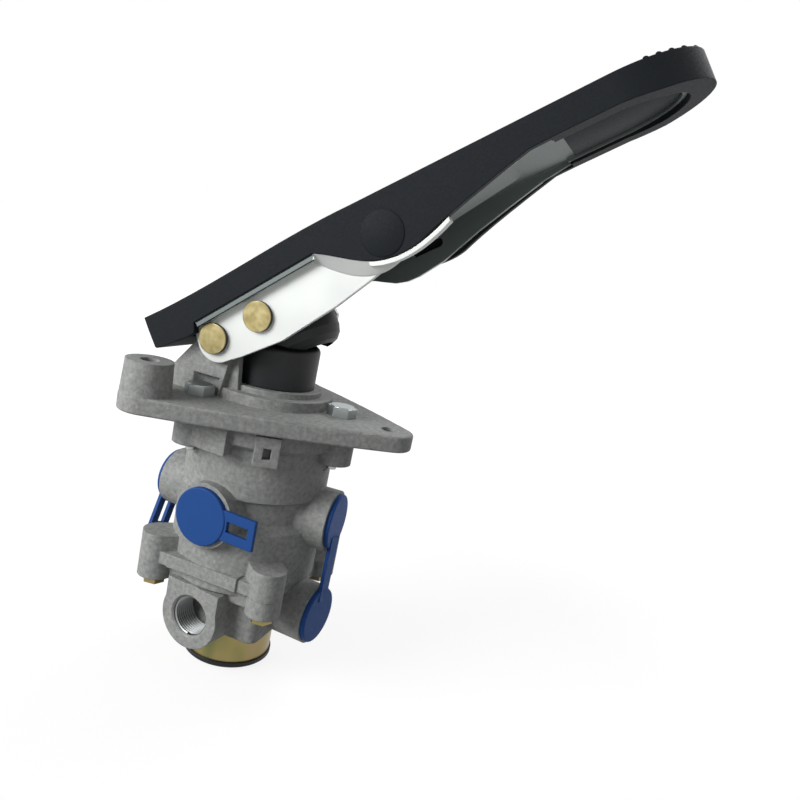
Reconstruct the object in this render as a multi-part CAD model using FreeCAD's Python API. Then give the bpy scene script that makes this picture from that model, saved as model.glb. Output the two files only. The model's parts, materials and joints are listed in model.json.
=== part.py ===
import FreeCAD, Part
import math
import os

V = FreeCAD.Vector

# Driving dimensions, mm. Z runs up the valve axis, z = 0 is the underside of the mounting plate.
# The treadle's toe points to +X and its hinge runs along Y.

# Mounting plate
plate_t = 8.4
mount_r = 67.5
mount_corner_r = 12.0
mount_hole_r = 4.25
plate_side_r = 49.0
boss_top = 24.0
ring_a_r = 32.0
ring_a_top = 13.4
ring_b_r = 26.0
ring_b_top = 16.0
body_bolt_r = 40.6
arm_angles = (0.0, 120.0, 240.0)

# Hinge and treadle
pivot_x = -17.16
pivot_z = 36.45
pitch_deg = 34.95
pin_r = 5.0
pin_head_r = 7.3
pin_head_t = 2.2
pin_fit = 0.05
roller_s = 26.43
roller_n = 0.58
roller_pin_r = 4.5
roller_r = 9.0
roller_half = 12.0
pad_half = 38.5
skirt_t = 4.0
cheek_t = 3.0
cheek_in = pad_half - skirt_t - 0.5 - cheek_t
ear_out = cheek_in - 0.3
ear_in = ear_out - 6.7
web_low = 17.6
web_top = 20.2
pad_top = 26.8
pad_heel = -31.5
heel_top = 22.9
heel_block = -8.5
rim_low = 14.6
rim_in = pad_half - 10.5
channel_half = pad_half - 22.5
toe_centre = 204.5
toe_start = 178.0
sheet_end = 177.0
hood_r = 20.6
hood_t = 2.5

# Plunger and boot
plunger_r = 11.0
crown_r = 11.0
neck_r = 8.0
bush_r = 14.0
slide_fit = 0.05
boot_r = 21.5
boot_top = 37.6
boot_t = 2.0
foot_r = 17.0
foot_top = 5.0
foot_low = 1.0

# Upper housing
flange_r = 42.7
flange_low = -8.7
lug_r = 9.5
lug_low = -16.0
body_r = 37.5
body_step = -37.3
waist_r = 34.0
flare_top = -53.7
flare_r = 38.5
parting = -82.0
corner_x = 32.0
corner_y = 32.0
corner_r = 8.8
corner_top = -67.5
piston_bore = 30.0
upper_chamber = 16.0

# Lower housing
lower_half = 28.0
lower_flange_low = -91.5
lower_bottom = -113.0
relay_bore = 24.0
lower_chamber = 14.0

# Ports: M22 x 1.5, cut at the thread's minor radius
port_r = 10.2
port_chamfer_r = 11.2
port_depth = 15.0
front_turn = 265.5
front_z = -47.9
front_face = 42.6
left_turn = 176.0
left_z = -51.0
left_face = 49.5
right_turn = 5.0
right_z = -48.2
right_face = 46.4
lower_turn = 263.0
lower_port_z = -104.2
lower_face = 38.5
right_low_turn = -4.5
right_low_z = -97.6
right_low_face = 48.8
cap_r = 14.5
cap_t = 2.5

# Exhaust end
cap_out_r = 22.8
cap_low = -133.0
ring_r = 23.6
ring_low = -136.0
spigot_r = 18.0

# Bolts
m8_r = 3.9
m8_af = 13.0
m8_head = 5.3
dog_r = 2.6
bolt_tip = -19.6
m6_r = 2.9
m6_af = 10.0
m6_head = 4.0

cos_p = math.cos(math.radians(pitch_deg))
sin_p = math.sin(math.radians(pitch_deg))
roller_x = pivot_x + roller_s * cos_p - roller_n * sin_p
roller_z = pivot_z + roller_s * sin_p + roller_n * cos_p
crown_top = roller_z - roller_r - 0.05


def polar(radius, degrees, z=0.0):
    a = math.radians(degrees)
    return V(radius * math.cos(a), radius * math.sin(a), z)


def turned(points):
    # A closed outline of (radius, z) points turned once round the Z axis
    wire = Part.makePolygon([V(r, 0, z) for r, z in points] + [V(points[0][0], 0, points[0][1])])
    return Part.Face(wire).revolve(V(0, 0, 0), V(0, 0, 1), 360)


def drum(radius, low, high, x=0.0, y=0.0):
    return Part.makeCylinder(radius, high - low, V(x, y, low))


def ring(outer, inner, low, high):
    return drum(outer, low, high).cut(drum(inner, low - 1, high + 1))


def prism(points, low, high):
    wire = Part.makePolygon([V(x, y, low) for x, y in points] + [V(points[0][0], points[0][1], low)])
    return Part.Face(wire).extrude(V(0, 0, high - low))


def side_slab(points, y_low, y_high):
    # A closed outline of (x, z) points made thick along Y
    first = [V(x, y_low, z) for x, z in points]
    wire = Part.makePolygon(first + [first[0]])
    return Part.Face(wire).extrude(V(0, y_high - y_low, 0))


def hexagon(across_flats, low, high, x, y, turn=0.0):
    r = across_flats / 2 / math.cos(math.pi / 6)
    corners = [polar(r, 60 * i + turn) for i in range(6)]
    return prism([(x + c.x, y + c.y) for c in corners], low, high)


def cross_bar(radius, y_low, y_high, x, z):
    return Part.makeCylinder(radius, y_high - y_low, V(x, y_low, z), V(0, 1, 0))


def fuse_all(shapes):
    return shapes[0].fuse(shapes[1:]).removeSplitter()


def cut_all(shape, tools):
    for tool in tools:
        shape = shape.cut(tool)
    return shape


def on_treadle(shape):
    # Treadle parts are drawn flat, hinge at the origin, then tilted up by the pitch
    out = shape.copy()
    out.rotate(V(0, 0, 0), V(0, 1, 0), -pitch_deg)
    out.translate(V(pivot_x, 0, pivot_z))
    return out


def port_bar(radius, start, end, degrees, z):
    # A round bar that leaves the axis sideways, 0 degrees along +X
    a = math.radians(degrees)
    d = V(math.cos(a), math.sin(a), 0)
    return Part.makeCylinder(radius, end - start, d * start + V(0, 0, z), d)


def port_cut(face, degrees, z):
    a = math.radians(degrees)
    d = V(math.cos(a), math.sin(a), 0)
    chamfer = port_chamfer_r - port_r
    cone = Part.makeCone(port_r, port_chamfer_r, chamfer, d * (face - chamfer) + V(0, 0, z), d)
    return [port_bar(port_r, face - port_depth, face + 1, degrees, z), cone]


def mounting_plate():
    sides = []
    for a in arm_angles:
        middle = polar(plate_side_r - mount_corner_r, a + 60)
        sides.append(Part.Arc(polar(mount_r, a), middle, polar(mount_r, a + 120)).toShape())
    rounded = Part.Wire(sides).makeOffset2D(mount_corner_r)
    slab = Part.Face(rounded).extrude(V(0, 0, plate_t))
    rim = [e for e in slab.Edges if abs(e.BoundBox.ZMax - e.BoundBox.ZMin) < 0.01]
    slab = slab.makeFillet(1.2, rim)
    parts = [slab, drum(ring_a_r, 5, ring_a_top), drum(ring_b_r, 5, ring_b_top)]
    for a in arm_angles[1:]:
        c = polar(mount_r, a)
        parts.append(Part.makeCone(mount_corner_r, mount_corner_r - 1.0, boss_top - 4, V(c.x, c.y, 4)))
    ear = [(-48.5, 7.0), (-12.5, 7.0), (pivot_x + 9.5, pivot_z), (pivot_x - 9.3, pivot_z - 0.5)]
    web = [(-20.0, 7.0), (-3.5, 7.0), (-6.0, 30.0), (-14.0, 34.0)]
    wall = [(-48.5, 7.0), (-43.0, 7.0), (-34.9, 22.0), (-37.1, 22.0)]
    for side in (-1, 1):
        y0, y1 = sorted((side * ear_in, side * ear_out))
        w0, w1 = sorted((side * ear_in, side * (ear_out - 3.2)))
        parts.append(side_slab(ear, y0, y1))
        parts.append(cross_bar(9.5, y0, y1, pivot_x, pivot_z))
        parts.append(side_slab(web, w0, w1))
    parts.append(side_slab(wall, -ear_out, ear_out))
    body = fuse_all(parts)
    cuts = [drum(bush_r, -1, ring_b_top + 1), drum(20.0, -1, 6.0)]
    for a in arm_angles:
        h = polar(mount_r, a)
        b = polar(body_bolt_r, a)
        cuts.append(drum(mount_hole_r, -1, boss_top + 1, h.x, h.y))
        cuts.append(drum(m8_r + 0.1, -1, plate_t + 1, b.x, b.y))
        cuts.append(drum(8.6, plate_t, plate_t + 9, b.x, b.y))
    cuts.append(cross_bar(pin_r, -40, 40, pivot_x, pivot_z))
    clearance = drum(boot_r + 1.0, ring_b_top, 60)
    cuts.append(clearance)
    return cut_all(body, cuts)


def plate_bolts():
    out = []
    for a in arm_angles:
        b = polar(body_bolt_r, a)
        head = hexagon(m8_af, plate_t, plate_t + m8_head, b.x, b.y, 17.0)
        crown = Part.makeCone(8.4, 5.9, m8_head + 0.0, V(b.x, b.y, plate_t))
        head = head.common(drum(7.5, plate_t, plate_t + m8_head - 0.5, b.x, b.y).fuse(crown))
        shank = drum(m8_r, lug_low, plate_t, b.x, b.y).fuse(drum(dog_r, bolt_tip, lug_low, b.x, b.y))
        out.append(head.fuse(shank).removeSplitter())
    return Part.makeCompound(out)


upper_ports = ((front_turn, front_face, front_z, 16.5), (left_turn, left_face, left_z, 15.6),
               (right_turn, right_face, right_z, 16.2))
box_turn = 30.5


def upper_housing():
    outside = turned([(0, 0), (flange_r, 0), (flange_r, flange_low), (body_r, flange_low - 3),
                      (body_r, body_step), (waist_r, body_step - 2), (waist_r, flare_top + 3.5),
                      (flare_r, flare_top), (flare_r, parting), (0, parting)])
    parts = [outside]
    for a in arm_angles:
        b = polar(body_bolt_r, a)
        parts.append(drum(lug_r, lug_low, 0, b.x, b.y))
    box = Part.makeBox(12, 12, 14.7, V(-6, -45.2, -16.2))
    box.rotate(V(0, 0, 0), V(0, 0, 1), box_turn)
    parts.append(box)
    lobe = [polar(46.3, a) for a in (236, 244, 252, 260, 268, 275.5)] + [polar(34.0, 275.5), polar(34.0, 236)]
    parts.append(prism([(c.x, c.y) for c in lobe], -14.6, 0))
    parts.append(Part.makeBox(40, 12, 7.0, V(-21, -39.7, parting)))
    parts.append(Part.makeBox(2 * corner_x, 12, 6.4, V(-corner_x, -38.7, parting)))
    square = Part.makeBox(2 * (corner_x + 1), 2 * (corner_y + 1), 6, V(-corner_x - 1, -corner_y - 1, parting))
    parts.append(square)
    for sx in (-1, 1):
        for sy in (-1, 1):
            parts.append(drum(corner_r, parting, corner_top, sx * corner_x, sy * corner_y))
            web = Part.makeBox(math.hypot(corner_x, corner_y), 2 * corner_r, corner_top - parting,
                               V(0, -corner_r, parting))
            web.rotate(V(0, 0, 0), V(0, 0, 1), math.degrees(math.atan2(sy * corner_y, sx * corner_x)))
            parts.append(web)
    for turn, face, z, radius in upper_ports:
        parts.append(port_bar(radius, 5, face, turn, z))
    body = fuse_all(parts)
    floor = -30.0
    seat = -35.5
    cuts = [drum(piston_bore, floor, 1), drum(10.0, seat - 1, floor + 1)]
    cuts.append(drum(upper_chamber, -70.5, seat))
    cuts.append(ring(upper_chamber, 11.2, seat - 0.5, seat + 1.2))
    cuts.append(ring(upper_chamber + 1.2, upper_chamber - 1, -67.5, -66.0))
    cuts.append(drum(relay_bore, parting - 1, -70.0))
    for turn, face, z, radius in upper_ports:
        cuts.extend(port_cut(face, turn, z))
        cuts.append(port_bar(6.0, 10, face, turn, z))
    for a in arm_angles:
        b = polar(body_bolt_r, a)
        cuts.append(drum(m8_r + 0.1, lug_low - 6, 1, b.x, b.y))
    slot = Part.makeBox(3.8, 6, 5.4, V(-1.9, -46.5, -12.4))
    slot.rotate(V(0, 0, 0), V(0, 0, 1), box_turn)
    cuts.append(slot)
    for sx in (-1, 1):
        for sy in (-1, 1):
            cuts.append(drum(m6_r + 0.1, parting - 1, -68.0, sx * corner_x, sy * corner_y))
    return cut_all(body, cuts)


def lower_housing():
    flange = Part.makeBox(2 * (corner_x + 1), 2 * (corner_y + 1), parting - lower_flange_low,
                          V(-corner_x - 1, -corner_y - 1, lower_flange_low))
    block = Part.makeBox(2 * lower_half, 2 * lower_half, parting - lower_bottom,
                         V(-lower_half, -lower_half, lower_bottom))
    block = block.makeFillet(5.0, [e for e in block.Edges if abs(e.BoundBox.ZLength - (parting - lower_bottom)) < 0.01])
    parts = [flange, block, drum(37.5, parting - 5.0, parting)]
    for sx in (-1, 1):
        for sy in (-1, 1):
            parts.append(drum(corner_r, lower_flange_low, parting, sx * corner_x, sy * corner_y))
    front = Part.makeBox(32, 18.5, 16.4, V(-16, -lower_face, lower_port_z))
    front = front.fuse(Part.makeCylinder(17.0, 18.5, V(0, -lower_face, lower_port_z), V(0, 1, 0)))
    front.rotate(V(0, 0, 0), V(0, 0, 1), lower_turn - 270)
    parts.append(front)
    parts.append(port_bar(15.6, 10, right_low_face, right_low_turn, right_low_z))
    parts.append(port_bar(13.0, 10, 35.0, left_turn, right_low_z))
    body = fuse_all(parts)
    floor = -90.0
    seat = -95.0
    cuts = [drum(relay_bore, floor, parting + 1), drum(9.0, seat - 1, floor + 1)]
    cuts.append(ring(lower_chamber, 10.2, seat - 0.5, seat + 1.2))
    cuts.append(drum(lower_chamber, lower_bottom - 1, seat))
    cuts.append(drum(cap_out_r + 0.4, lower_bottom - 12, lower_bottom))
    cuts.append(drum(spigot_r, lower_bottom - 1, -104.0))
    cuts.append(ring(27.6, 25.4, parting - 1.9, parting + 1))
    cuts.extend(port_cut(lower_face, lower_turn, lower_port_z))
    cuts.extend(port_cut(right_low_face, right_low_turn, right_low_z))
    cuts.append(port_bar(6.0, 8, lower_face, lower_turn, -100.8))
    cuts.append(port_bar(6.0, 8, right_low_face, right_low_turn, -100.0))
    for sx in (-1, 1):
        for sy in (-1, 1):
            cuts.append(drum(m6_r + 0.1, lower_flange_low - 1, parting + 1, sx * corner_x, sy * corner_y))
            cuts.append(drum(6.6, lower_flange_low - 6, lower_flange_low, sx * corner_x, sy * corner_y))
    return cut_all(body, cuts)


def housing_bolts():
    out = []
    for sx in (-1, 1):
        for sy in (-1, 1):
            x = sx * corner_x
            y = sy * corner_y
            head = hexagon(m6_af, lower_flange_low - m6_head, lower_flange_low, x, y, 10.0)
            out.append(head.fuse(drum(m6_r, lower_flange_low, -69.0, x, y)).removeSplitter())
    return Part.makeCompound(out)


def housing_seal():
    return ring(27.5, 25.5, parting - 1.8, parting)


def exhaust_cap():
    neck = -104.0
    floor = -117.0
    shell = turned([(7.06, floor), (cap_out_r - 3, floor), (cap_out_r - 3, cap_low), (cap_out_r, cap_low),
                    (cap_out_r, lower_bottom), (spigot_r, lower_bottom), (spigot_r, neck),
                    (lower_chamber, neck), (lower_chamber, lower_bottom), (7.06, lower_bottom)])
    return shell


def exhaust_ring():
    return turned([(14.0, ring_low), (ring_r - 0.8, ring_low), (ring_r, ring_low + 0.8), (ring_r, cap_low),
                   (14.0, cap_low)])


def exhaust_flap():
    disc = drum(18.8, cap_low, cap_low + 1.5)
    button = drum(5.0, cap_low + 1.5, cap_low + 4.0)
    return disc.fuse(button).removeSplitter()


def cap_tongue(radius, thick, reach):
    # The pull tab beside a port cap: a flat strip with a window, drawn along +X
    strip = Part.makeBox(reach - 8, 15, thick, V(8, -7.5, 0))
    window = Part.makeBox(12, 5.5, thick + 2, V(radius + 1.0, -2.75, -1))
    return strip.cut(window)


def port_plug():
    # Disc at z = 0 to cap_t, hollow plug below it
    disc = drum(cap_r, 0, cap_t)
    disc = disc.makeFillet(0.8, [e for e in disc.Edges if abs(e.BoundBox.ZMin - cap_t) < 0.01
                                 and abs(e.BoundBox.ZMax - cap_t) < 0.01])
    plug = ring(port_r - 0.1, port_r - 1.6, -8, 0)
    return disc.fuse(plug)


def stand_on_port(shape, face, degrees, z, roll=0.0):
    # Turn a cap drawn along +Z so that it faces out of a port
    out = shape.copy()
    out.rotate(V(0, 0, 0), V(0, 0, 1), roll)
    out.rotate(V(0, 0, 0), V(0, 1, 0), 90)
    out.translate(V(face, 0, 0))
    out.rotate(V(0, 0, 0), V(0, 0, 1), degrees)
    out.translate(V(0, 0, z))
    return out


def front_port_cap():
    cap = port_plug().fuse(cap_tongue(cap_r, 2.0, 31.0)).removeSplitter()
    return stand_on_port(cap, front_face, front_turn, front_z, 90)


def left_port_cap():
    cap = port_plug().fuse(cap_tongue(cap_r, 2.0, 31.0)).removeSplitter()
    return stand_on_port(cap, left_face, left_turn, left_z, 20)


def twin_port_cap():
    top = stand_on_port(port_plug(), right_face, right_turn, right_z)
    low = stand_on_port(port_plug(), right_low_face, right_low_turn, right_low_z)
    start = polar(right_face + 2.2, right_turn, right_z)
    end = polar(right_low_face + 2.2, right_low_turn, right_low_z)
    along = (end - start).normalize()
    across = along.cross(V(1, 0, 0)).normalize()
    out = across.cross(along)
    corners = []
    for i, k in ((-1, -1), (1, -1), (1, 1), (-1, 1)):
        corners.append(start + along * 8 + across * (4.7 * i) + out * (0.9 * k))
    strap = Part.Face(Part.makePolygon(corners + corners[:1]))
    strap = strap.extrude(along * (start.distanceToPoint(end) - 16))
    return fuse_all([top, low, strap])


def guide_bush():
    return ring(bush_r, plunger_r + slide_fit, 6.2, ring_b_top)


def plunger():
    return turned([(0, crown_top), (crown_r - 1.5, crown_top), (crown_r, crown_top - 1.5),
                   (crown_r, boot_top + 0.3), (neck_r, boot_top + 0.3), (neck_r, boot_top - boot_t - 0.3),
                   (plunger_r, boot_top - boot_t - 1.0), (plunger_r, foot_top), (foot_r, foot_top),
                   (foot_r, foot_low), (0, foot_low)])


def rubber_boot():
    t = boot_t
    return turned([(boot_r, ring_b_top), (boot_r, boot_top - 3), (boot_r - 0.9, boot_top - 0.9),
                   (boot_r - 3, boot_top), (neck_r + 0.05, boot_top), (neck_r + 0.05, boot_top - t),
                   (boot_r - t - 1, boot_top - t), (boot_r - t, boot_top - t - 1), (boot_r - t, ring_b_top)])


def graduating_spring():
    # The rubber spring between the plunger's foot and the primary piston
    return turned([(4.0, foot_low), (13.0, foot_low), (14.5, -3.0), (14.5, -8.0), (13.0, -12.0), (4.0, -12.0)])


def primary_piston():
    r = piston_bore - 0.05
    return turned([(0, -12.0), (r, -12.0), (r, -14.4), (r - 2.4, -14.4), (r - 2.4, -17.6), (r, -17.6),
                   (r, -20.0), (9.0, -20.0), (8.0, -21.0), (8.0, -34.3), (6.0, -34.3), (6.0, -24.0),
                   (0, -24.0)])


def piston_seal(bore, low):
    return turned([(bore - 2.4, low), (bore - 0.6, low), (bore - 0.04, low + 0.7), (bore - 0.04, low + 2.3),
                   (bore - 0.6, low + 3.0), (bore - 2.4, low + 3.0)])


def coil(radius, wire, low, high, turns):
    # A ground coil spring: a six-sided wire wound between two flat end rings
    rise = high - low - 2 * wire
    helix = Part.makeHelix(rise / turns, rise, radius)
    a = [i * math.pi / 3 for i in range(6)]
    corners = [V(radius + wire / 2 * math.cos(t), 0, wire / 2 * math.sin(t)) for t in a]
    profile = Part.makePolygon(corners + [corners[0]])
    body = Part.Wire(helix.Edges).makePipeShell([profile], True, True)
    body.translate(V(0, 0, low + wire))
    bottom = ring(radius + wire / 2, radius - wire / 2, low, low + wire)
    top = ring(radius + wire / 2, radius - wire / 2, high - wire, high)
    return fuse_all([body, bottom, top])


def upper_valve():
    return turned([(4.0, -35.5), (12.5, -35.5), (12.5, -39.5), (8.0, -39.5), (8.0, -68.0), (4.0, -68.0)])


def upper_retainer():
    return turned([(8.06, -60.0), (15.9, -60.0), (15.9, -66.0), (8.06, -66.0)])


def retainer_clip():
    clip = ring(upper_chamber + 1.1, upper_chamber - 2.0, -67.4, -66.05)
    return clip.cut(Part.makeBox(30, 6, 4, V(0, -3, -69)))


def relay_piston():
    r = relay_bore - 0.05
    return turned([(9.2, -73.0), (r, -73.0), (r, -74.6), (r - 2.4, -74.6), (r - 2.4, -77.8), (r, -77.8),
                   (r, -80.0), (8.0, -80.0), (7.0, -81.0), (7.0, -93.8), (5.2, -93.8), (5.2, -76.0),
                   (9.2, -74.5)])


def lower_valve():
    return turned([(3.6, -95.0), (11.5, -95.0), (11.5, -98.5), (7.0, -98.5), (7.0, -120.0), (3.6, -120.0)])


def fulcrum_pins():
    out = []
    for side in (-1, 1):
        face = cheek_in + cheek_t + 0.1
        y0, y1 = sorted((side * ear_in, side * face))
        h0, h1 = sorted((side * face, side * (face + pin_head_t)))
        shaft = cross_bar(pin_r, y0, y1, pivot_x, pivot_z)
        out.append(shaft.fuse(cross_bar(pin_head_r, h0, h1, pivot_x, pivot_z)).removeSplitter())
    return Part.makeCompound(out)


def spline(points, y=0.0):
    # A smooth curve through (s, n) points of the treadle, s along it from the hinge and n square to it
    curve = Part.BSplineCurve()
    curve.interpolate([V(s, y, n) for s, n in points])
    return curve.toShape()


# The lower outline of the pad's side skirt, from heel to toe
skirt_heel = [(-4.7, 10.4), (65.0, 15.0)]
skirt_dip = [(65.0, 15.0), (75.0, 9.0), (88.0, 1.4), (100.0, -1.5), (113.0, -0.5)]
skirt_rise = [(113.0, -0.5), (128.0, 4.3), (144.0, 8.6), (159.0, 12.3), (168.0, 14.4)]
# The pad's upper outline, flat from its last point to the toe
tread_line = [(-30.0, heel_top), (5.0, 23.2), (35.0, 24.9), (64.0, 26.5), (90.0, pad_top)]


def lowered(points, drop):
    return [(s, n - drop) for s, n in points]


def strip(upper, drop, y_low, y_high):
    # A band of sheet under an outline, drop thick, between two y values
    top = spline(upper)
    low = spline(lowered(upper, drop))
    ends = [Part.makeLine(top.Vertexes[i].Point, low.Vertexes[i].Point) for i in (0, -1)]
    face = Part.Face(Part.Wire(Part.__sortEdges__([top, low] + ends)))
    band = face.extrude(V(0, y_high - y_low, 0))
    band.translate(V(0, y_low, 0))
    return band


def toe_plan(radius, low, high):
    # The toe's plan: a half round and two straight sides
    plan = drum(radius, low, high, toe_centre, 0)
    sides = Part.makeBox(toe_centre - toe_start + 10, 2 * radius, high - low, V(toe_start - 10, -radius, low))
    return plan.fuse(sides).removeSplitter()


def channel():
    # The stiffening channel pressed down out of the web, deepest next to the roller
    outer = side_slab([(58.0, web_low + 0.5), (58.0, 6.0), (60.5, 3.6), (152.0, 15.9), (156.5, web_low + 0.5)],
                      -channel_half, channel_half)
    outer = outer.makeFillet(3.2, [e for e in outer.Edges if e.BoundBox.XLength > 80 and e.BoundBox.ZMin < 10])
    inner = side_slab([(60.6, web_top + 1), (60.6, 6.4), (150.0, 18.4), (153.0, web_top + 1)],
                      -channel_half + 2.6, channel_half - 2.6)
    return outer, inner


def treadle_frame():
    out_y = cheek_in + cheek_t
    web = Part.makeBox(sheet_end + 7, 2 * out_y, web_top - web_low, V(-7, -out_y, web_low))
    lip = toe_plan(rim_in - 0.4, web_low - 1.8, web_low + 0.5).cut(toe_plan(rim_in - 2.6, web_low - 3, web_low + 1))
    lip = lip.common(Part.makeBox(80, 80, 10, V(toe_start - 1.5, -40, web_low - 4)))
    outer, inner = channel()
    parts = [web, toe_plan(rim_in - 0.4, web_low, web_top), lip, outer]
    front = [(102, -1.6), (124, 4.8), (144, 9.6), (163, 13.9), (sheet_end, 15.6)]
    # The cheek without the flange is notched between the roller pin and the middle of the treadle
    plain_low = [(1.0, -12.1), (10, -13.2), (22, -13.8), (29, -11.5), (34, -7.5), (36.4, -3.8), (35.8, 0.5), (40, 5.0),
                 (46, 6.6), (57, 6.2), (63, 4.0), (67, 1.7), (73.6, -1.9), (80, -3.5), (87, -3.6)]
    flanged_low = [(1.0, -12.1), (10, -13.2), (33, -14.2), (65, -10.0), (84, -6.0)]
    for side, low in ((-1, flanged_low), (1, plain_low)):
        y0, y1 = sorted((side * cheek_in, side * out_y))
        outline = [(-9.4, 2.0)] + low + front + [(sheet_end, web_top), (-7.0, web_top)]
        cheek = side_slab(outline, y0, y1).fuse(cross_bar(11.2, y0, y1, 1.6, -1.0))
        slot = Part.makeBox(13, cheek_t + 2, 4.6, V(90, y0 - 1, 6.0))
        for s in (90, 103):
            slot = slot.fuse(cross_bar(2.3, y0 - 1, y1 + 1, s, 8.3))
        parts.append(cheek.cut(slot))
        f0, f1 = sorted((side * (out_y - 0.5), side * (pad_half - 0.4)))
        heel = side_slab([(-4.0, 10.3), (65.0, 14.9), (65.0, 12.3), (-4.0, 7.7)], f0, f1)
        parts.append(heel)
    parts.append(strip(lowered(skirt_dip[2:] + skirt_rise[1:2], 0.35), 2.0, 0.4 - pad_half, 0.5 - out_y))
    edge = spline(lowered(skirt_dip[:4], 0.12), 0.4 - pad_half)
    bend = spline([(62.0, 12.2), (70.0, 5.0), (78.0, -0.9), (100.0, -3.4)], -out_y - 0.3)
    parts.append(Part.makeRuledSurface(edge, bend).extrude(V(0, 2.6, 0)))
    body = fuse_all(parts)
    cuts = [inner, cross_bar(pin_r + pin_fit, -50, 50, 0, 0), cross_bar(roller_pin_r, -50, 50, roller_s, roller_n)]
    return on_treadle(cut_all(body, cuts))


def tread_height(s):
    if s >= tread_line[-1][0]:
        return pad_top
    for (s0, n0), (s1, n1) in zip(tread_line, tread_line[1:]):
        if s <= s1:
            return n0 + (n1 - n0) * (s - s0) / (s1 - s0)


def treadle_pad():
    tip = toe_centre + pad_half + 1
    bottom = [(168.0, 14.4), (toe_start, rim_low), (205.0, rim_low), (222.0, 13.5), (tip, 13.5), (tip, pad_top),
              (90.0, pad_top)]
    heel = [(-30.0, heel_top), (pad_heel, 8.6), (-29.5, 7.0), (-25.0, 6.2), (-11.3, 5.4), (-6.6, 5.8), (-4.7, 10.4)]
    edges = [spline(skirt_dip), spline(skirt_rise), spline(tread_line)]
    for run in (bottom, heel, skirt_heel):
        edges.extend(Part.makePolygon([V(s, 0, n) for s, n in run]).Edges)
    side = Part.Face(Part.Wire(Part.__sortEdges__(edges))).extrude(V(0, 2 * pad_half + 2, 0))
    side.translate(V(0, -pad_half - 1, 0))
    plan = Part.makeBox(toe_centre - pad_heel, 2 * pad_half, 60, V(pad_heel, -pad_half, -20))
    plan = plan.makeFillet(3.0, [e for e in plan.Edges if abs(e.BoundBox.XMax - pad_heel) < 0.01
                                 and e.BoundBox.ZLength > 50])
    plan = plan.fuse(drum(pad_half, -20, 40, toe_centre, 0)).removeSplitter()
    pad = side.common(plan)
    for i in range(5):
        rib = cross_bar(1.4, -45, 45, 219.5 + 4.9 * i, pad_top - 0.6)
        pad = pad.fuse(rib.common(drum(pad_half - 0.4, 20, 30, toe_centre, 0)))
    pad = pad.removeSplitter()
    inner_y = pad_half - skirt_t
    well = Part.makeBox(sheet_end + 0.5 - heel_block, 2 * inner_y, 45, V(heel_block, -inner_y, web_top - 45))
    pad = pad.cut(well).cut(toe_plan(rim_in, web_top - 30, web_top))
    for side in (-1, 1):
        pocket = Part.makeBox(12, 4.2, 45, V(heel_block - 2, min(side * inner_y, side * (inner_y - 4.2)), web_top - 45))
        pad = pad.cut(pocket)
    for i in range(14):
        s = -14.0 + 16.0 * i
        groove = Part.makeBox(5.0, 2 * pad_half - 15, 6, V(s, 7.5 - pad_half, tread_height(s) - 1.2))
        pad = pad.cut(groove)
    return on_treadle(pad)


def roller_pin():
    face = cheek_in + cheek_t
    shaft = cross_bar(roller_pin_r, -face, face + 3.4, roller_s, roller_n)
    head = cross_bar(pin_head_r, -face - pin_head_t, -face, roller_s, roller_n)
    groove = cross_bar(roller_pin_r + 1, face + 0.1, face + 1.4, roller_s, roller_n)
    groove = groove.cut(cross_bar(roller_pin_r - 0.8, face - 1, face + 4, roller_s, roller_n))
    return on_treadle(shaft.fuse(head).removeSplitter().cut(groove))


def roller_pin_clip():
    face = cheek_in + cheek_t
    clip = cross_bar(7.2, face + 0.15, face + 1.35, roller_s, roller_n)
    clip = clip.cut(cross_bar(roller_pin_r - 0.8, face - 1, face + 4, roller_s, roller_n))
    gap = Part.makeBox(12, 4, 4, V(roller_s + 2, face - 1, roller_n - 2))
    return on_treadle(clip.cut(gap))


def roller_spacers():
    out = []
    for side in (-1, 1):
        y0, y1 = sorted((side * (roller_half + 0.3), side * cheek_in))
        tube = cross_bar(6.8, y0, y1, roller_s, roller_n)
        out.append(tube.cut(cross_bar(roller_pin_r, y0 - 1, y1 + 1, roller_s, roller_n)))
    return on_treadle(Part.makeCompound(out))


def roller_hood():
    # The rubber hood under the treadle that closes over the roller and the boot's top
    r, t = hood_r, hood_t
    tube = turned([(r - t, web_low), (r, web_low), (r, -12.0), (r - 1.2, -16.0), (r - 3.6, -18.8), (r - 6.5, -20.0),
                   (r - 6.5, -20.0 + t), (r - 4.8, -16.8), (r - t, -11.5)])
    tube.translate(V(roller_s, 0, 0))
    tube = tube.cut(Part.makeBox(40, 60, 60, V(roller_s - 50.4, -30, -30)))
    tube = tube.cut(cross_bar(7.0, -40, 40, roller_s, roller_n))
    placed = on_treadle(tube)
    return placed.common(Part.makeBox(120, 80, 80, V(-60, -40, boot_top + 1.0)))


def roller():
    wheel = cross_bar(roller_r, -roller_half, roller_half, roller_x, roller_z)
    wheel = wheel.makeChamfer(0.8, [e for e in wheel.Edges if e.BoundBox.YLength < 0.01])
    return wheel.cut(cross_bar(roller_pin_r + 0.05, -20, 20, roller_x, roller_z))


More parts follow.
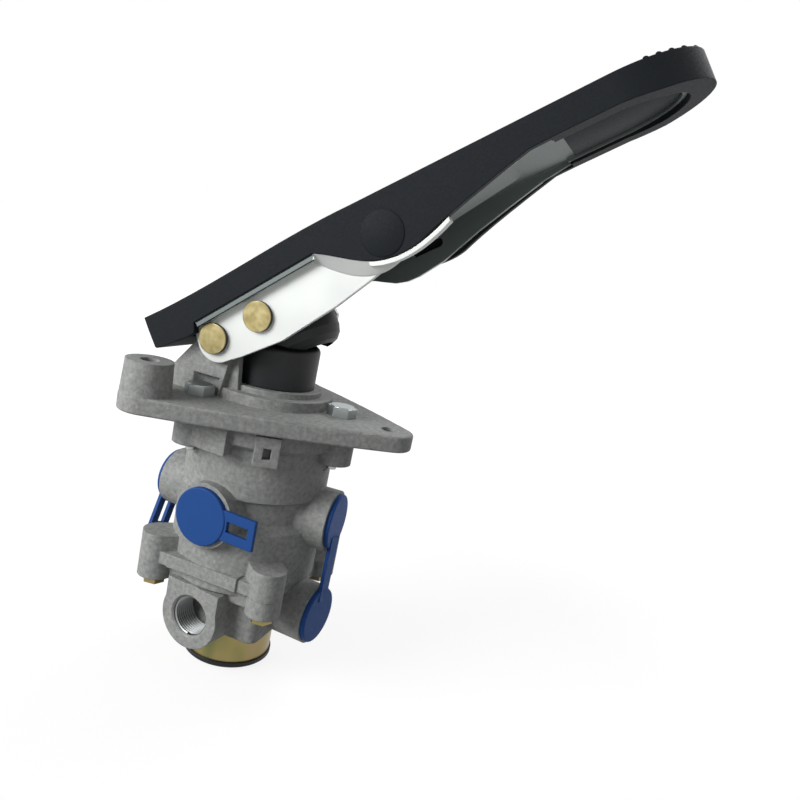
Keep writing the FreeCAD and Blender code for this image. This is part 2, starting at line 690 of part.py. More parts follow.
nodes = {
    "mounting_plate": mounting_plate,
    "plate_bolts": plate_bolts,
    "upper_housing": upper_housing,
    "lower_housing": lower_housing,
    "housing_bolts": housing_bolts,
    "housing_seal": housing_seal,
    "exhaust_cap": exhaust_cap,
    "exhaust_ring": exhaust_ring,
    "exhaust_flap": exhaust_flap,
    "front_port_cap": front_port_cap,
    "left_port_cap": left_port_cap,
    "twin_port_cap": twin_port_cap,
    "guide_bush": guide_bush,
    "plunger": plunger,
    "rubber_boot": rubber_boot,
    "graduating_spring": graduating_spring,
    "primary_piston": primary_piston,
    "primary_piston_seal": lambda: piston_seal(piston_bore, -17.5),
    "piston_return_spring": lambda: coil(23.0, 2.2, -30.0, -20.0, 2),
    "upper_valve": upper_valve,
    "upper_valve_spring": lambda: coil(10.6, 1.7, -60.0, -39.5, 3),
    "upper_retainer": upper_retainer,
    "retainer_clip": retainer_clip,
    "relay_piston": relay_piston,
    "relay_piston_seal": lambda: piston_seal(relay_bore, -77.7),
    "relay_spring": lambda: coil(17.0, 1.8, -90.0, -80.0, 2),
    "lower_valve": lower_valve,
    "lower_valve_spring": lambda: coil(10.2, 1.7, -113.0, -98.5, 2),
    "fulcrum_pins": fulcrum_pins,
    "treadle_frame": treadle_frame,
    "treadle_pad": treadle_pad,
    "roller_pin": roller_pin,
    "roller_pin_clip": roller_pin_clip,
    "roller_spacers": roller_spacers,
    "roller_hood": roller_hood,
    "roller": roller,
}

os.makedirs("parts", exist_ok=True)
for name, make in nodes.items():
    shape = make()
    shape.exportStep("parts/" + name + ".step")
    print(name, len(shape.Solids), shape.isValid(), round(shape.Volume))
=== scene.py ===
import json
import math
import bmesh
import bpy
from bpy.props import FloatProperty, FloatVectorProperty, PointerProperty
from mathutils import Matrix, Vector


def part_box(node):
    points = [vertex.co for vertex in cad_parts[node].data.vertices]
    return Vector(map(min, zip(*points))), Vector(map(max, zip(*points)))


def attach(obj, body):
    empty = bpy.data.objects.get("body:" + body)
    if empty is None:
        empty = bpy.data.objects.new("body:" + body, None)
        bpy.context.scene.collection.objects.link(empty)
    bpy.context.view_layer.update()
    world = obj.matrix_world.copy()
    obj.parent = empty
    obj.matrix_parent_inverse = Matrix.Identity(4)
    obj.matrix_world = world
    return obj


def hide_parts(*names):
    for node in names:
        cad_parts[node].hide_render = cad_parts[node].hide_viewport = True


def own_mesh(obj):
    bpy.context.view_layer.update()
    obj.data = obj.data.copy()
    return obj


bl_info = {
    "name": "Foot brake valve",
    "version": (1, 0, 0),
    "blender": (4, 5, 0),
    "location": "View3D > Sidebar > Brake valve",
    "description": "Dresses the foot brake valve: materials, threads, moulded details and a studio",
    "category": "Object",
}

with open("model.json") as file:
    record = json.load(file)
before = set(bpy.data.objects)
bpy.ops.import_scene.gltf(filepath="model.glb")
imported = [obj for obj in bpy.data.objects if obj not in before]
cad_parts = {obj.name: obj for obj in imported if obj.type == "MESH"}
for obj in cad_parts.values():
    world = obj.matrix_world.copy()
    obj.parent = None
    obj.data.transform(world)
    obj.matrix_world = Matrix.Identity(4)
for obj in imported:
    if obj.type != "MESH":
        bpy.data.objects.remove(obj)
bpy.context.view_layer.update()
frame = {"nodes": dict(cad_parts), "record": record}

# Lengths below are in millimetres, unless a comment says metres, and MM takes them to metres
MM = 0.001

# The treadle's hinge, and the turn from its flat drawing to its place
PIVOT = Vector((-17.16, 0, 36.45))
PITCH = math.radians(34.95)
SIDES = ((-1, "near"), (1, "far"))

# The open port: its direction in degrees, height, face and bore, where the dark sleeve of painted shade behind
# the thread starts below the face, its length and wall, and how far below its face the thread starts
PORT_TURN = 263.0
PORT_Z = -104.2
PORT_FACE = 38.5
PORT_BORE = 10.2
SLEEVE_DEPTH = 14.6
SLEEVE_LENGTH = 13.6
SLEEVE_WALL = 0.1
THREAD_DEPTH = 15.0
THREAD_TURNS = 9
RIDGE_SHARE = 0.62
RIDGE_STRETCH = 1.25

# The treadle's sheet. FOLD_END_X and BEND_END_X are x in the frame: the painted shade on the folded edge stops
# at FOLD_END_X, and the painted shade at the toe starts at BEND_END_X
CHEEK_FACE = 34.0
CHEEK_IN = 31.0
FOLD_Y = 37.7
FOLD_END_X = 28.0
BEND_END_X = 107.5
WEB_LOW = 17.6

# The dark rings of painted shade round the pin heads: name, and place along and across the treadle
PIN_HEADS = (("pin_ring_hinge", 0.0, 0.0), ("pin_ring_roller", 26.43, 0.58))
PIN_HEAD_R = 7.32
PIN_RING_DEPTH = 1.7
PIN_RING_WALL = 0.35

# The boot: its hole, wall and shoulder
BOOT_NECK = 8.05
BOOT_WALL = 2.0
BOOT_SHOULDER = 3.0

# The springs: CAD node, piece, finish, the body it stands on, and how far its top comes down at full stroke
SOFT_PIECES = (("graduating_spring", "graduating_rubber", "black_rubber", "piston_body", 4.01),
               ("piston_return_spring", "piston_coil", "spring_steel", "valve_body", 2.49),
               ("relay_spring", "relay_coil", "spring_steel", "valve_body", 2.40),
               ("upper_valve_spring", "upper_valve_coil", "spring_steel", "valve_body", 1.31),
               ("lower_valve_spring", "lower_valve_coil", "spring_steel", "valve_body", 1.26))

# The discs on the pad's sides
DISC_S = 98.65
DISC_Y = 38.6
DISC_N = 9.67
DISC_DEPTH = 0.5

# The lining under the toe: the centre of its round end, where it starts, its radius and thickness
TOE_CENTRE = 204.5
LINING_START = 180.5
LINING_R = 25.1
LINING_DEPTH = 0.7

# The dark lines of painted shade along the folded edge, and how far each row lies under the line from start to
# end
SHADE_LINE_START = Vector((-3.6, 0, 10.25))
SHADE_LINE_END = Vector((64.6, 0, 14.8))
SHADE_LINE_Y = 38.0
SHADE_LINE_WIDTH = 0.5
SHADE_LINE_ROWS = (("upper", 0.25), ("lower", 2.6))

# The studio, in metres. Lamps: name, place, target, size and power as a share of the key's
FLOOR_SIZE = 6.0
FLOOR_Z = -0.1365
LAMPS = (("key", (-0.72, -0.95, 0.5), (0, 0, 0), (0.7, 0.7), 1.0),
         ("fill", (0.9, -0.9, 0.3), (0, 0, 0), (0.7, 0.9), 0.05),
         ("rim", (0.3, 0.9, 0.9), (0, 0, 0.05), (0.8, 0.6), 0.3))

# The camera: azimuth, elevation and roll in degrees, place, sensor, and focal length over picture width
CAMERA_TURN = (17.22, 11.57, 11.85)
CAMERA_PLACE = Vector((179.6, -355.6, 100.5))
SENSOR = 36.0
FOCAL_SHARE = 775.95 / 800


def linear(text):
    """An sRGB hex colour as linear RGBA."""
    out = []
    for i in (1, 3, 5):
        c = int(text[i:i + 2], 16) / 255
        out.append(c / 12.92 if c <= 0.04045 else ((c + 0.055) / 1.055) ** 2.4)
    return (*out, 1.0)


def add(tree, kind, links=(), **settings):
    """Adds a node. A setting whose name is a socket goes to the socket, links are (input, node, output)."""
    node = tree.nodes.new(kind)
    for key, value in settings.items():
        if hasattr(node, key):
            setattr(node, key, value)
        else:
            node.inputs[key.replace("_", " ")].default_value = value
    for socket, source, output in links:
        tree.links.new(source.outputs[output], node.inputs[socket])
    return node


def calc(tree, operation, first, second=None):
    """The result of a Math node on two values, each a socket or a plain number."""
    node = add(tree, "ShaderNodeMath", operation=operation)
    for socket, value in zip(node.inputs, (first, second)):
        if isinstance(value, bpy.types.NodeSocket):
            tree.links.new(value, socket)
        elif value is not None:
            socket.default_value = value
    return node.outputs["Value"]


def new_material(name, colour, metallic, roughness, **more):
    """A material with a Principled shader, whose constants sit on its own sockets."""
    mat = bpy.data.materials.new(name)
    mat.use_nodes = True
    shader = mat.node_tree.nodes["Principled BSDF"]
    shader.inputs["Base Color"].default_value = linear(colour) if isinstance(colour, str) else colour
    shader.inputs["Metallic"].default_value = metallic
    shader.inputs["Roughness"].default_value = roughness
    for key, value in more.items():
        shader.inputs[key.replace("_", " ")].default_value = value
    return mat, mat.node_tree, shader


def noise(tree, size_mm, detail=2.0, stretch=(1, 1, 1)):
    """Noise in object space whose grains are about size_mm across."""
    coords = add(tree, "ShaderNodeTexCoord")
    mapping = add(tree, "ShaderNodeMapping", [("Vector", coords, "Object")], Scale=stretch)
    return add(tree, "ShaderNodeTexNoise", [("Vector", mapping, "Vector")],
               Scale=1 / (size_mm * MM), Detail=detail, Roughness=0.6)


def ramp(tree, source, stops):
    """A colour ramp over a noise. Its stops are (place, hex colour)."""
    node = add(tree, "ShaderNodeValToRGB", [("Fac", source, "Fac")])
    band = node.color_ramp
    while len(band.elements) < len(stops):
        band.elements.new(0.5)
    for element, (place, colour) in zip(band.elements, stops):
        element.position = place
        element.color = linear(colour)
    return node


def rough_range(tree, shader, source, low, high):
    """Lets a noise move the roughness between low and high."""
    node = add(tree, "ShaderNodeMapRange", [("Value", source, "Fac")],
               From_Min=0.3, From_Max=0.7, To_Min=low, To_Max=high)
    tree.links.new(node.outputs["Result"], shader.inputs["Roughness"])


def bump(tree, shader, source, depth_mm, strength=0.5, edge_mm=0.0):
    """Bump from a noise, over edges softened by edge_mm."""
    node = add(tree, "ShaderNodeBump", [("Height", source, "Fac")], Strength=strength, Distance=depth_mm * MM)
    if edge_mm:
        soft = add(tree, "ShaderNodeBevel", samples=6, Radius=edge_mm * MM)
        tree.links.new(soft.outputs["Normal"], node.inputs["Normal"])
    tree.links.new(node.outputs["Normal"], shader.inputs["Normal"])


def cast_aluminium():
    # Die-cast aluminium, shot-blasted: a dull grey metal with a fine sandy skin and faint blotches
    mat, tree, shader = new_material("die_cast_aluminium", "#8E908E", 0.06, 0.58, Specular_IOR_Level=0.22)
    blotch = noise(tree, 2.2, 5)
    tone = ramp(tree, blotch, [(0.25, "#777A79"), (0.5, "#8E908E"), (0.75, "#A5A39E")])
    tree.links.new(tone.outputs["Color"], shader.inputs["Base Color"])
    grain = noise(tree, 1.1, 4)
    rough_range(tree, shader, grain, 0.5, 0.7)
    bump(tree, shader, grain, 0.32, 0.8, 0.8)
    return mat


def machined_aluminium():
    # Aluminium cut with a tool: bright, with fine turning marks
    mat, tree, shader = new_material("machined_aluminium", "#8E9191", 0.6, 0.42)
    marks = noise(tree, 0.8, 2)
    rough_range(tree, shader, marks, 0.32, 0.42)
    bump(tree, shader, marks, 0.02, 0.3)
    return mat


def zinc_sheet():
    # Bright zinc plated pressed steel, smooth and slightly milky. Painted shade darkens it between the cheeks,
    # at the toe end and on the folded edge under the pad's heel
    mat, tree, shader = new_material("bright_zinc_sheet", "#CED1CF", 0.3, 0.5)
    cloud = noise(tree, 30, 2)
    bright = ramp(tree, cloud, [(0.3, "#C8CBC9"), (0.7, "#D4D7D3")])
    coords = add(tree, "ShaderNodeTexCoord")
    place = add(tree, "ShaderNodeSeparateXYZ", [("Vector", coords, "Object")])
    across = calc(tree, "ABSOLUTE", place.outputs["Y"])
    # Painted shade: masks for the inside of the channel, the toe end and the folded edge under the heel
    inner = calc(tree, "LESS_THAN", across, (CHEEK_IN + 0.3) * MM)
    edge = calc(tree, "GREATER_THAN", across, FOLD_Y * MM)
    heel = calc(tree, "LESS_THAN", place.outputs["X"], FOLD_END_X * MM)
    toe = calc(tree, "GREATER_THAN", place.outputs["X"], BEND_END_X * MM)
    painted_shade_at_ends = calc(tree, "MAXIMUM", toe, calc(tree, "MULTIPLY", edge, heel))
    tone = add(tree, "ShaderNodeMix", [("A", bright, "Color")], data_type="RGBA")
    tree.links.new(calc(tree, "MAXIMUM", inner, painted_shade_at_ends), tone.inputs["Factor"])
    # The colour of the painted shade
    tone.inputs["B"].default_value = linear("#656E6C")
    tree.links.new(tone.outputs["Result"], shader.inputs["Base Color"])
    grain = noise(tree, 1.0, 2)
    rough_range(tree, shader, grain, 0.46, 0.56)
    bump(tree, shader, grain, 0.015, 0.2, 0.5)
    return mat


def zinc_parts():
    # Bright zinc plated turned and headed steel
    mat, tree, shader = new_material("bright_zinc_steel", "#A3A8A8", 0.85, 0.34)
    grain = noise(tree, 1.2, 2)
    rough_range(tree, shader, grain, 0.28, 0.4)
    bump(tree, shader, grain, 0.03, 0.3, 0.4)
    return mat


def yellow_zinc(name, base, tints, size, stretch):
    # Yellow passivated zinc: a gold film over steel that drifts to green and pink
    mat, tree, shader = new_material(name, base, 0.85, 0.36)
    drift = noise(tree, size, 1, stretch)
    tone = ramp(tree, drift, tints)
    tree.links.new(tone.outputs["Color"], shader.inputs["Base Color"])
    grain = noise(tree, 1.5, 2)
    rough_range(tree, shader, grain, 0.3, 0.42)
    bump(tree, shader, grain, 0.02, 0.3, 0.4)
    return mat


def moulded(name, colour, roughness, grain_mm, depth_mm, edge_mm, **more):
    # One colour and a fine grain, with soft edges where it comes from a mould
    mat, tree, shader = new_material(name, colour, 0.0, roughness, **more)
    grain = noise(tree, grain_mm, 3)
    rough_range(tree, shader, grain, roughness - 0.06, roughness + 0.08)
    bump(tree, shader, grain, depth_mm, 0.4, edge_mm)
    return mat


def make_materials():
    drifting = [(0.3, "#6F7149"), (0.45, "#8F8354"), (0.58, "#978560"), (0.72, "#7E625C")]
    golden = [(0.3, "#857850"), (0.5, "#94885F"), (0.7, "#A2976F")]
    return {
        "cast_aluminium": cast_aluminium(),
        "machined_aluminium": machined_aluminium(),
        "zinc_steel": zinc_parts(),
        "zinc_sheet": zinc_sheet(),
        "yellow_zinc": yellow_zinc("yellow_zinc_iridescent", "#A59A68", drifting, 16, (1, 1, 0.3)),
        "gold_zinc": yellow_zinc("yellow_zinc_gold", "#94885F", golden, 4, (1, 1, 1)),
        "spring_steel": moulded("spring_steel_oiled", "#343638", 0.45, 1.0, 0.02, 0.0),
        "bronze": moulded("sintered_bronze", "#A5814C", 0.4, 0.8, 0.03, 0.0),
        "black_rubber": moulded("nitrile_rubber_moulded", "#101215", 0.48, 0.8, 0.03, 0.6,
                                Specular_IOR_Level=0.3),
        "pad_rubber": moulded("pad_rubber_moulded", "#12161A", 0.65, 0.9, 0.05, 0.8, Specular_IOR_Level=0.15),
        "black_plastic": moulded("acetal_black", "#141517", 0.42, 0.8, 0.02, 0.4, Specular_IOR_Level=0.35),
        "blue_plastic": moulded("polyethylene_blue", "#1F4684", 0.55, 1.2, 0.03, 0.5,
                                Specular_IOR_Level=0.15),
    }


def material(slot):
    return next(m for m in bpy.data.materials if m.get("slot") == slot)


def clear_selection():
    """Leaves object mode with nothing selected, and edit mode set to pick vertices."""
    if bpy.context.object and bpy.context.object.mode != "OBJECT":
        bpy.ops.object.mode_set(mode="OBJECT")
    bpy.ops.object.select_all(action="DESELECT")
    bpy.context.tool_settings.mesh_select_mode = (True, False, False)


def edit_all():
    """Starts editing the active object's mesh with everything selected."""
    bpy.ops.object.mode_set(mode="EDIT")
    bpy.ops.mesh.select_all(action="SELECT")


def stop_editing():
    bpy.ops.object.mode_set(mode="OBJECT")


def apply_place():
    bpy.ops.object.transform_apply(location=True, rotation=True, scale=True)


def apply_all(obj):
    """Applies the object's modifiers in their order."""
    bpy.context.view_layer.objects.active = obj
    for modifier in list(obj.modifiers):
        bpy.ops.object.modifier_apply(modifier=modifier.name)


def give_wall(obj, thickness, offset):
    wall = obj.modifiers.new("wall", "SOLIDIFY")
    wall.thickness = thickness * MM
    wall.offset = offset


def round_edges(obj, width, segments=1):
    bevel = obj.modifiers.new("edge", "BEVEL")
    bevel.width = width * MM
    bevel.segments = segments
    bevel.limit_method = "ANGLE"


def pick_faces(obj, test):
    """Selects, in edit mode, the faces that pass the test, and nothing else."""
    bpy.ops.mesh.select_all(action="DESELECT")
    mesh = bmesh.from_edit_mesh(obj.data)
    for face in mesh.faces:
        if test(face):
            face.select_set(True)
    bmesh.update_edit_mesh(obj.data)


def settle(obj, name, slot, body, matrix=None):
    """Names a finished piece, puts its place into its mesh, and hands it to its body."""
    clear_selection()
    bpy.context.view_layer.objects.active = obj
    obj.select_set(True)
    if matrix is not None:
        obj.matrix_world = matrix @ obj.matrix_world
    apply_place()
    bpy.ops.object.shade_smooth_by_angle(angle=math.radians(35))
    obj.name = name
    obj.data.name = name
    obj.data.materials.clear()
    obj.data.materials.append(material(slot))
    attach(obj, body)


def shorten(obj, node):
    """Stands for the node: hides the node and gives the piece a mesh of its own."""
    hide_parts(node)
    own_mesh(obj)


def treadle_matrix():
    """From the treadle drawn flat with its hinge at the origin to its place, in metres."""
    return Matrix.Translation(PIVOT * MM) @ Matrix.Rotation(-PITCH, 4, "Y")


def port_matrix(depth):
    """From a piece drawn along +Z to one that faces out of the open port, from depth mm below its face."""
    a = math.radians(PORT_TURN)
    out = Vector((math.cos(a), math.sin(a), 0))
    place = Matrix.Translation((out * (PORT_FACE - depth) + Vector((0, 0, PORT_Z))) * MM)
    return place @ Matrix.Rotation(a, 4, "Z") @ Matrix.Rotation(math.pi / 2, 4, "Y")


def bore_sleeve(radius, length):
    """A thin sleeve on a bore's wall that stands on z = 0."""
    clear_selection()
    bpy.ops.mesh.primitive_cylinder_add(vertices=64, radius=radius * MM, depth=length * MM,
                                        end_fill_type="NOTHING", location=(0, 0, length / 2 * MM))
    obj = bpy.context.object
    give_wall(obj, SLEEVE_WALL, -1.0)
    apply_all(obj)
    return obj


def inner_thread(radius, pitch, turns, steps=48):
    """A thread inside a bore: a three-sided ridge with a gap beside it, wound along +Z."""
    clear_selection()
    corner = RIDGE_SHARE * pitch / math.sqrt(3)
    bpy.ops.mesh.primitive_circle_add(vertices=3, radius=corner * MM, fill_type="NOTHING",
                                      rotation=(0, 0, math.pi / 2))
    obj = bpy.context.object
    apply_place()
    obj.rotation_euler = (math.pi / 2, 0, 0)
    obj.scale = (RIDGE_STRETCH, 1, 1)
    obj.location = (radius * MM, 0, 0)
    apply_place()
    screw = obj.modifiers.new("wind", "SCREW")
    screw.axis = "Z"
    screw.angle = 2 * math.pi
    screw.screw_offset = pitch * MM
    screw.iterations = turns
    screw.steps = steps
    screw.render_steps = steps
    screw.use_smooth_shade = False
    apply_all(obj)
    edit_all()
    bpy.ops.mesh.remove_doubles(threshold=1e-6)
    bpy.ops.mesh.normals_make_consistent(inside=False)
    stop_editing()
    return obj


def area_light(name, place, target, size, power):
    data = bpy.data.lights.new(name, "AREA")
    data.shape = "RECTANGLE"
    data.size, data.size_y = size
    data.energy = power
    obj = bpy.data.objects.new(name, data)
    bpy.context.collection.objects.link(obj)
    obj.location = place
    obj.rotation_euler = (Vector(target) - Vector(place)).to_track_quat("-Z", "Y").to_euler()


def seen_rays(tree):
    """1 for the rays that show the background: from the camera, in a reflection and through glass."""
    path = add(tree, "ShaderNodeLightPath")
    seen = calc(tree, "MAXIMUM", path.outputs["Is Camera Ray"], path.outputs["Is Glossy Ray"])
    return calc(tree, "MAXIMUM", seen, path.outputs["Is Transmission Ray"])


def make_floor(colour, floor_lift):
    """A paper floor. Where it is seen it is brightened to white, so that only the shadow shows on it."""
    clear_selection()
    bpy.ops.mesh.primitive_plane_add(size=FLOOR_SIZE, location=(0, 0, FLOOR_Z))
    floor = bpy.context.object
    floor.name = "floor"
    mat, tree, shader = new_material("paper_white", colour, 0.0, 0.9)
    coords = add(tree, "ShaderNodeTexCoord")
    away = add(tree, "ShaderNodeVectorMath", [("Vector", coords, "Object")], operation="LENGTH")
    near = add(tree, "ShaderNodeMapRange", [("Value", away, "Value")],
               From_Min=0.25, From_Max=1.0, To_Min=floor_lift)
    lift = calc(tree, "MULTIPLY", seen_rays(tree), near.outputs["Result"])
    shader.inputs["Emission Color"].default_value = (1, 1, 1, 1)
    tree.links.new(lift, shader.inputs["Emission Strength"])
    floor.data.materials.append(mat)


def make_world(scene):
    """More light from above than from the sides, and white for the rays that show the background."""
    world = bpy.data.worlds.new("studio")
    scene.world = world
    world.use_nodes = True
    tree = world.node_tree
    tree.nodes.clear()
    coords = add(tree, "ShaderNodeTexCoord")
    split = add(tree, "ShaderNodeSeparateXYZ", [("Vector", coords, "Generated")])
    height = add(tree, "ShaderNodeMapRange", [("Value", split, "Z")], From_Min=-0.3, To_Min=0.07, To_Max=0.27)
    soft = add(tree, "ShaderNodeBackground", [("Strength", height, "Result")], Color=(0.96, 0.98, 1.0, 1.0))
    white = add(tree, "ShaderNodeBackground", Color=(1, 1, 1, 1), Strength=1.0)
    mix = add(tree, "ShaderNodeMixShader")
    for socket, source in zip(mix.inputs, (seen_rays(tree), soft.outputs[0], white.outputs[0])):
        tree.links.new(source, socket)
    add(tree, "ShaderNodeOutputWorld", [("Surface", mix, "Shader")])


def make_camera(scene):
    """The camera that the reference was seen from."""
    az, el, roll = (math.radians(a) for a in CAMERA_TURN)
    back = Vector((math.sin(az) * math.cos(el), -math.cos(az) * math.cos(el), math.sin(el)))
    right = Vector((math.cos(az), math.sin(az), 0))
    up = back.cross(right)
    side = right * math.cos(roll) + up * math.sin(roll)
    top = -right * math.sin(roll) + up * math.cos(roll)
    data = bpy.data.cameras.new("camera")
    data.sensor_width = SENSOR
    data.lens = FOCAL_SHARE * SENSOR
    data.clip_start = 0.01
    camera = bpy.data.objects.new("camera", data)
    bpy.context.collection.objects.link(camera)
    turn = Matrix((side, top, back)).transposed().to_4x4()
    camera.matrix_world = Matrix.Translation(CAMERA_PLACE * MM) @ turn
    scene.camera = camera


class ValveSettings(bpy.types.PropertyGroup):
    """Sizes and colours a user would change."""
    port_pitch: FloatProperty(name="Port thread pitch", description="Pitch of the open port's thread",
                              default=1.5 * MM, unit="LENGTH")
    disc_radius: FloatProperty(name="Moulded disc radius", description="Radius of the disc on the pad's sides",
                               default=10.2 * MM, unit="LENGTH")
    light: FloatProperty(name="Key light", description="Power of the key light", default=20.0, unit="POWER")
    floor_lift: FloatProperty(name="Floor lift", description="How far the floor is brightened to the camera",
                              default=0.84, min=0.0, max=1.0)
    floor_colour: FloatVectorProperty(name="Floor colour", description="Colour of the floor", subtype="COLOR",
                                      size=4, default=(0.16, 0.16, 0.16, 1.0))


class VALVE_OT_materials(bpy.types.Operator):
    """Gives every CAD node its procedural material"""
    bl_idname = "valve.materials"
    bl_label = "Materials"

    def execute(self, context):
        mats = make_materials()
        slots = {item["node"]: item["material_slot"] for item in frame["record"]["subparts"]}
        for name, obj in frame["nodes"].items():
            for i in range(len(obj.material_slots)):
                obj.material_slots[i].material = mats[slots[name]]
        for key, mat in mats.items():
            mat["slot"] = key
        return {"FINISHED"}


class VALVE_OT_threads(bpy.types.Operator):
    """Winds the thread in the open port, over a dark sleeve that paints the shade in the gaps beside its ridge
    """
    bl_idname = "valve.threads"
    bl_label = "Threads"

    def execute(self, context):
        # Painted shade: a dark sleeve on the bore's wall behind the thread
        root = bore_sleeve(PORT_BORE - 0.06, SLEEVE_LENGTH)
        settle(root, "port_thread_root", "spring_steel", "valve_body", port_matrix(SLEEVE_DEPTH))
        thread = inner_thread(PORT_BORE - 0.3, context.scene.valve.port_pitch / MM, THREAD_TURNS)
        settle(thread, "port_thread", "machined_aluminium", "valve_body", port_matrix(THREAD_DEPTH))
        return {"FINISHED"}


class VALVE_OT_boot(bpy.types.Operator):
    """Moulds the boot round the plunger, with a rounded shoulder and an open foot"""
    bl_idname = "valve.boot"
    bl_label = "Boot"

    def execute(self, context):
        low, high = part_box("rubber_boot")
        radius = (high[0] - low[0]) / 2
        clear_selection()
        bpy.ops.mesh.primitive_cylinder_add(vertices=96, radius=radius, depth=high[2] - low[2],
                                            location=(0, 0, (low[2] + high[2]) / 2))
        obj = bpy.context.object
        apply_place()
        bpy.ops.object.mode_set(mode="EDIT")
        bpy.ops.mesh.select_mode(type="FACE")
        pick_faces(obj, lambda face: face.normal.z < -0.9)
        bpy.ops.mesh.delete(type="FACE")
        pick_faces(obj, lambda face: face.normal.z > 0.9)
        bpy.ops.mesh.bevel(offset=BOOT_SHOULDER * MM, segments=6)
        pick_faces(obj, lambda face: face.normal.z > 0.999 and len(face.verts) > 8)
        bpy.ops.mesh.inset(thickness=radius - BOOT_SHOULDER * MM - BOOT_NECK * MM)
        bpy.ops.mesh.delete(type="FACE")
        stop_editing()
        give_wall(obj, BOOT_WALL, -1.0)
        apply_all(obj)
        settle(obj, "boot_moulded", "black_rubber", "valve_body")
        shorten(obj, "rubber_boot")
        return {"FINISHED"}


class VALVE_OT_springs(bpy.types.Operator):
    """Makes the springs as pieces of their own that stand for their CAD nodes"""
    bl_idname = "valve.springs"
    bl_label = "Springs"

    def execute(self, context):
        for node, name, slot, body, travel in SOFT_PIECES:
            obj = frame["nodes"][node].copy()
            obj.data = obj.data.copy()
            context.collection.objects.link(obj)
            clear_selection()
            context.view_layer.objects.active = obj
            obj.select_set(True)
            edit_all()
            bpy.ops.mesh.remove_doubles(threshold=1e-6)
            bpy.ops.mesh.tris_convert_to_quads()
            stop_editing()
            settle(obj, name, slot, body)
            shorten(obj, node)
        return {"FINISHED"}


class VALVE_OT_pad_discs(bpy.types.Operator):
    """Adds the moulded disc on each side of the pad"""
    bl_idname = "valve.pad_discs"
    bl_label = "Pad discs"

    def execute(self, context):
        for side, word in SIDES:
            clear_selection()
            bpy.ops.mesh.primitive_cylinder_add(vertices=64, radius=context.scene.valve.disc_radius,
                                                depth=DISC_DEPTH * MM, rotation=(math.pi / 2, 0, 0),
                                                location=(DISC_S * MM, side * DISC_Y * MM, DISC_N * MM))
            obj = bpy.context.object
            round_edges(obj, 0.2, 2)
            apply_all(obj)
            settle(obj, f"pad_disc_{word}", "pad_rubber", "treadle", treadle_matrix())
        return {"FINISHED"}


class VALVE_OT_toe_lining(bpy.types.Operator):
    """Lines the toe end of the treadle's sheet with the pad's rubber, inside the sheet's lip"""
    bl_idname = "valve.toe_lining"
    bl_label = "Toe lining"

    def execute(self, context):
        clear_selection()
        bpy.ops.mesh.primitive_circle_add(vertices=96, radius=LINING_R * MM, fill_type="NGON")
        obj = bpy.context.object
        edit_all()
        bpy.ops.mesh.bisect(plane_co=(0, 0, 0), plane_no=(1, 0, 0), use_fill=False, clear_inner=True)
        bpy.ops.mesh.select_all(action="DESELECT")
        stop_editing()
        for edge in obj.data.edges:
            edge.select = all(abs(obj.data.vertices[i].co.x) < 1e-6 for i in edge.vertices)
        bpy.ops.object.mode_set(mode="EDIT")
        for shift in ((LINING_START - TOE_CENTRE, 0, 0), (0, 0, -LINING_DEPTH)):
            bpy.ops.mesh.extrude_region_move(TRANSFORM_OT_translate={"value": [v * MM for v in shift]})
            bpy.ops.mesh.select_all(action="SELECT")
        bpy.ops.mesh.normals_make_consistent(inside=False)
        stop_editing()
        round_edges(obj, 0.25, 2)
        apply_all(obj)
        obj.location = (TOE_CENTRE * MM, 0, WEB_LOW * MM)
        apply_place()
        settle(obj, "toe_lining", "pad_rubber", "treadle", treadle_matrix())
        return {"FINISHED"}


class VALVE_OT_pin_rings(bpy.types.Operator):
    """Puts a dark ring round each pin head on the near cheek, as painted shade on the head's side"""
    bl_idname = "valve.pin_rings"
    bl_label = "Pin rings"

    def execute(self, context):
        for name, along, across in PIN_HEADS:
            clear_selection()
            # Painted shade: a thin dark ring round the pin head
            bpy.ops.mesh.primitive_circle_add(vertices=64, radius=PIN_HEAD_R * MM, fill_type="NOTHING")
            obj = bpy.context.object
            edit_all()
            bpy.ops.mesh.extrude_region_move(TRANSFORM_OT_translate={"value": (0, 0, PIN_RING_DEPTH * MM)})
            stop_editing()
            give_wall(obj, PIN_RING_WALL, 1.0)
            round_edges(obj, 0.1)
            apply_all(obj)
            obj.rotation_euler = (math.pi / 2, 0, 0)
            obj.location = (along * MM, -CHEEK_FACE * MM, across * MM)
            apply_place()
            settle(obj, name, "black_plastic", "treadle", treadle_matrix())
        return {"FINISHED"}


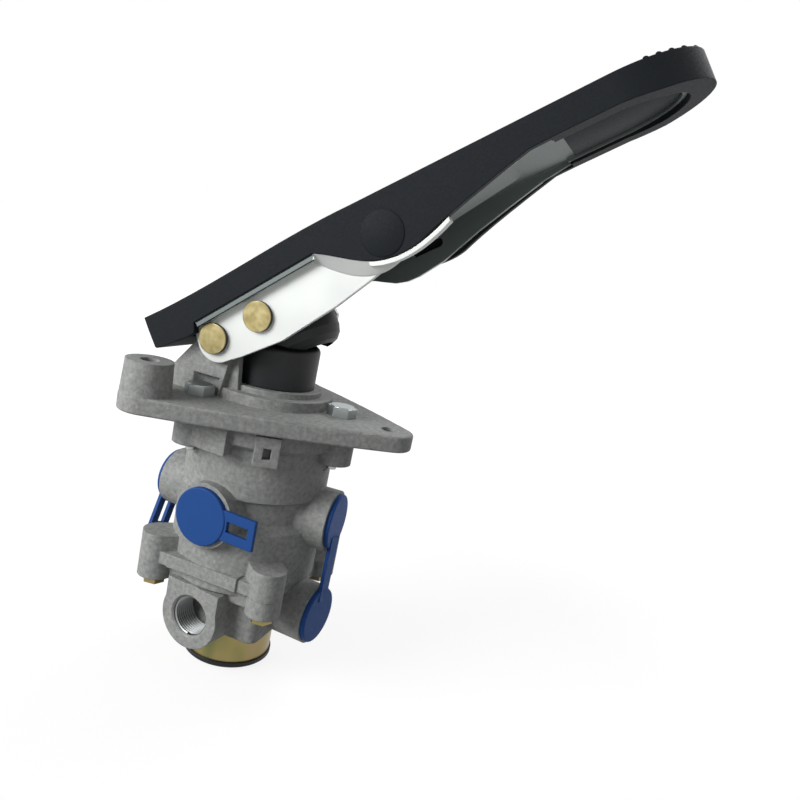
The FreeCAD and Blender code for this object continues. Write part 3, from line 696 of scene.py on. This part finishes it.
class VALVE_OT_sheet_shade_lines(bpy.types.Operator):
    """Runs thin lines in the pad's rubber along the folded edge of the sheet on both sides, as painted shade
    in the gap between the pad's skirt and the sheet
    """
    bl_idname = "valve.sheet_beads"
    bl_label = "Sheet shade lines"

    def execute(self, context):
        run = SHADE_LINE_END - SHADE_LINE_START
        middle = (SHADE_LINE_START + SHADE_LINE_END) / 2
        for side, word in SIDES:
            for row, drop in SHADE_LINE_ROWS:
                # Painted shade: one thin dark line in the gap under the pad's skirt
                clear_selection()
                bpy.ops.mesh.primitive_cube_add(size=1.0)
                obj = bpy.context.object
                obj.scale = (run.length * MM, SHADE_LINE_WIDTH * MM, SHADE_LINE_WIDTH * MM)
                obj.rotation_euler = (0, -math.atan2(run.z, run.x), 0)
                obj.location = (middle.x * MM, side * SHADE_LINE_Y * MM, (middle.z - drop) * MM)
                apply_place()
                round_edges(obj, 0.2, 3)
                apply_all(obj)
                settle(obj, f"sheet_bead_{word}_{row}", "pad_rubber", "treadle", treadle_matrix())
        return {"FINISHED"}


class VALVE_OT_stage(bpy.types.Operator):
    """Sets the floor, the light, the white background and the camera"""
    bl_idname = "valve.stage"
    bl_label = "Stage"

    def execute(self, context):
        s = context.scene.valve
        make_floor(s.floor_colour, s.floor_lift)
        make_world(context.scene)
        for name, place, target, size, share in LAMPS:
            area_light(name, place, target, size, s.light * share)
        make_camera(context.scene)
        context.scene.view_settings.view_transform = "Standard"
        return {"FINISHED"}


class VALVE_PT_panel(bpy.types.Panel):
    """Lists the steps that dress the valve"""
    bl_idname = "VALVE_PT_panel"
    bl_label = "Foot brake valve"
    bl_space_type = "VIEW_3D"
    bl_region_type = "UI"
    bl_category = "Brake valve"

    def draw(self, context):
        s = context.scene.valve
        for name in s.__annotations__:
            self.layout.prop(s, name)
        for step in STEPS:
            self.layout.operator(step.bl_idname)


STEPS = (VALVE_OT_materials, VALVE_OT_threads, VALVE_OT_boot, VALVE_OT_springs,
         VALVE_OT_pad_discs, VALVE_OT_toe_lining, VALVE_OT_pin_rings,
         VALVE_OT_sheet_shade_lines, VALVE_OT_stage)
CLASSES = (ValveSettings, *STEPS, VALVE_PT_panel)


def register():
    for cls in CLASSES:
        bpy.utils.register_class(cls)
    bpy.types.Scene.valve = PointerProperty(type=ValveSettings)


def unregister():
    del bpy.types.Scene.valve
    for cls in reversed(CLASSES):
        bpy.utils.unregister_class(cls)


def main():
    register()
    for step in STEPS:
        group, name = step.bl_idname.split(".")
        getattr(getattr(bpy.ops, group), name)()


if __name__ == "__main__":
    main()
